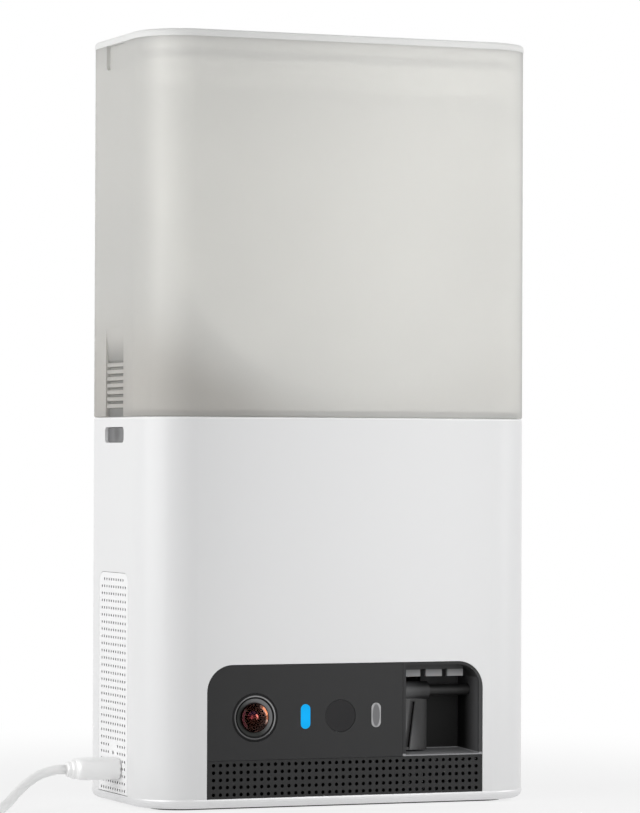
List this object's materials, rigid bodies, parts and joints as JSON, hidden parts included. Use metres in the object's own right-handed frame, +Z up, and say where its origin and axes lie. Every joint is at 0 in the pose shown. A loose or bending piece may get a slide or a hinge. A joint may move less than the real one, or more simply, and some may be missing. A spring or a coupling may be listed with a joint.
{
  "type": "treat tossing pet camera",
  "caption": "Upright pet camera with a lift-off treat container, a chute with a sprung paddle that tosses treats, a wide-angle lens, lights, a speaker grille and a power lead.",
  "frame": {"origin": "centre of the underside, on the surface the camera stands on", "axes": "+Z up, -Y the front with the lens and chute, +X to the right as seen from the front"},
  "size_m": [0.2648, 0.106, 0.272],
  "materials": {
    "shell_white": "satin white",
    "foot_silver": "satin silver",
    "foot_rubber": "matt",
    "steel": "plain",
    "screw_steel": "dark plated",
    "deck_grey": "matt",
    "panel_dark": "matt",
    "grille_dark": "matt",
    "speaker_black": "matt",
    "bezel_grey": "satin",
    "lens_glass": "coated",
    "barrel_black": "matt",
    "board_green": "solder mask",
    "status_blue": "lit light pipe",
    "light_grey": "frosted light pipe",
    "window_dark": "infrared window",
    "chute_dark": "matt",
    "comb_silicone": "matt",
    "duct_grey": "matt",
    "vent_white": "satin white",
    "socket_steel": "plain",
    "switch_black": "matt",
    "cover_dark": "matt",
    "motor_steel": "plain",
    "frame_grey": "matt",
    "spring_steel": "plain",
    "plug_white": "matt",
    "lead_white": "matt",
    "tie_grey": "hook and loop",
    "paddle_grey": "matt",
    "gear_ivory": "matt",
    "pinion_brass": "plain",
    "wheel_rubber": "matt",
    "button_grey": "matt",
    "container_smoke": "translucent smoky",
    "hopper_grey": "satin",
    "lid_white": "satin",
    "seal_grey": "matt"
  },
  "bodies": {
    "base": {"lower_shell": "shell_white", "base_plate": "foot_silver", "base_pad": "foot_rubber", "ballast_plate": "steel", "base_screws": "screw_steel", "top_deck": "deck_grey", "front_fascia": "panel_dark", "speaker_grille": "grille_dark", "speaker_driver": "speaker_black", "camera_bezel": "bezel_grey", "camera_lens": "lens_glass", "camera_barrel": "barrel_black", "camera_board": "board_green", "status_light": "status_blue", "infrared_light": "light_grey", "sensor_window": "window_dark", "chute_frame": "chute_dark", "comb_flap": "comb_silicone", "drop_shaft": "duct_grey", "side_vent": "vent_white", "usb_socket": "socket_steel", "reset_switch": "switch_black", "main_board": "board_green", "motor_cover": "cover_dark", "feed_motor": "motor_steel", "gear_plate": "frame_grey", "launch_frame": "frame_grey", "launch_motor": "motor_steel", "launch_spring": "spring_steel", "button_spring_left": "spring_steel", "button_spring_right": "spring_steel", "usb_c_plug": "plug_white", "power_cord": "lead_white", "cord_coil": "lead_white", "cord_tail": "lead_white", "cord_tie": "tie_grey", "usb_a_plug": "plug_white"},
    "container": {"treat_container": "container_smoke", "container_collar": "hopper_grey", "latch_catches": "hopper_grey", "hopper_trough": "hopper_grey"},
    "lid": {"lid": "lid_white", "lid_seal": "seal_grey"},
    "feed_wheel": {"feed_rotor": "wheel_rubber"},
    "feed_drive": {"feed_gear": "gear_ivory"},
    "idler": {"feed_idler": "gear_ivory"},
    "feed_motor_shaft": {"feed_pinion": "pinion_brass"},
    "paddle": {"launch_paddle": "paddle_grey", "launch_shaft": "steel", "launch_gear": "gear_ivory"},
    "launch_drive": {"drive_gear": "gear_ivory"},
    "launch_motor_shaft": {"launch_pinion": "pinion_brass"},
    "left_button": {"release_button_left": "button_grey"},
    "right_button": {"release_button_right": "button_grey"},
    "reset": {"reset_button": "switch_black"}
  },
  "joints": [
    {"name": "container_lift", "type": "slide", "parent": "base", "child": "container", "axis": [0, 0, 1], "range_m": [0, 0.06]},
    {"name": "lid_lift", "type": "slide", "parent": "container", "child": "lid", "axis": [0, 0, 1], "range_m": [0, 0.04]},
    {"name": "feed_drive_spin", "type": "hinge", "parent": "base", "child": "feed_drive", "pos_m": [0, 0, 0.1145], "axis": [0, 0, 1], "continuous": true},
    {"name": "feed_wheel_spin", "type": "hinge", "parent": "container", "child": "feed_wheel", "pos_m": [0, 0, 0.134], "axis": [0, 0, 1], "continuous": true},
    {"name": "idler_spin", "type": "hinge", "parent": "base", "child": "idler", "pos_m": [-0.0196, 0, 0.1145], "axis": [0, 0, 1], "continuous": true},
    {"name": "feed_motor_spin", "type": "hinge", "parent": "base", "child": "feed_motor_shaft", "pos_m": [-0.038, 0, 0.1145], "axis": [0, 0, 1], "continuous": true},
    {"name": "paddle_swing", "type": "hinge", "parent": "base", "child": "paddle", "pos_m": [0.029, -0.0275, 0.04], "axis": [1, 0, 0], "range_deg": [-40, 55], "stiffness_Nm_per_rad": 0.02, "deforming": ["launch_spring"]},
    {"name": "launch_drive_turn", "type": "hinge", "parent": "base", "child": "launch_drive", "pos_m": [0.0165, -0.01392, 0.05358], "axis": [1, 0, 0], "range_deg": [-28, 21]},
    {"name": "launch_motor_turn", "type": "hinge", "parent": "base", "child": "launch_motor_shaft", "pos_m": [0.0115, 0.00688, 0.05358], "axis": [1, 0, 0], "range_deg": [-68, 93]},
    {"name": "left_button_press", "type": "slide", "parent": "base", "child": "left_button", "axis": [1, 0, 0], "range_m": [0, 0.0018], "stiffness_N_per_m": 1200, "deforming": ["button_spring_left"]},
    {"name": "right_button_press", "type": "slide", "parent": "base", "child": "right_button", "axis": [-1, 0, 0], "range_m": [0, 0.0018], "stiffness_N_per_m": 1200, "deforming": ["button_spring_right"]},
    {"name": "reset_press", "type": "slide", "parent": "base", "child": "reset", "axis": [1, 0, 0], "range_m": [0, 0.0005], "stiffness_N_per_m": 1000}
  ],
  "couplings": [
    {"joint": "feed_wheel_spin", "follows": "feed_drive_spin", "ratio": 1},
    {"joint": "idler_spin", "follows": "feed_drive_spin", "ratio": -0.44118},
    {"joint": "feed_motor_spin", "follows": "feed_drive_spin", "ratio": 1.25},
    {"joint": "launch_drive_turn", "follows": "paddle_swing", "ratio": -0.5},
    {"joint": "launch_motor_turn", "follows": "paddle_swing", "ratio": 1.6667}
  ]
}
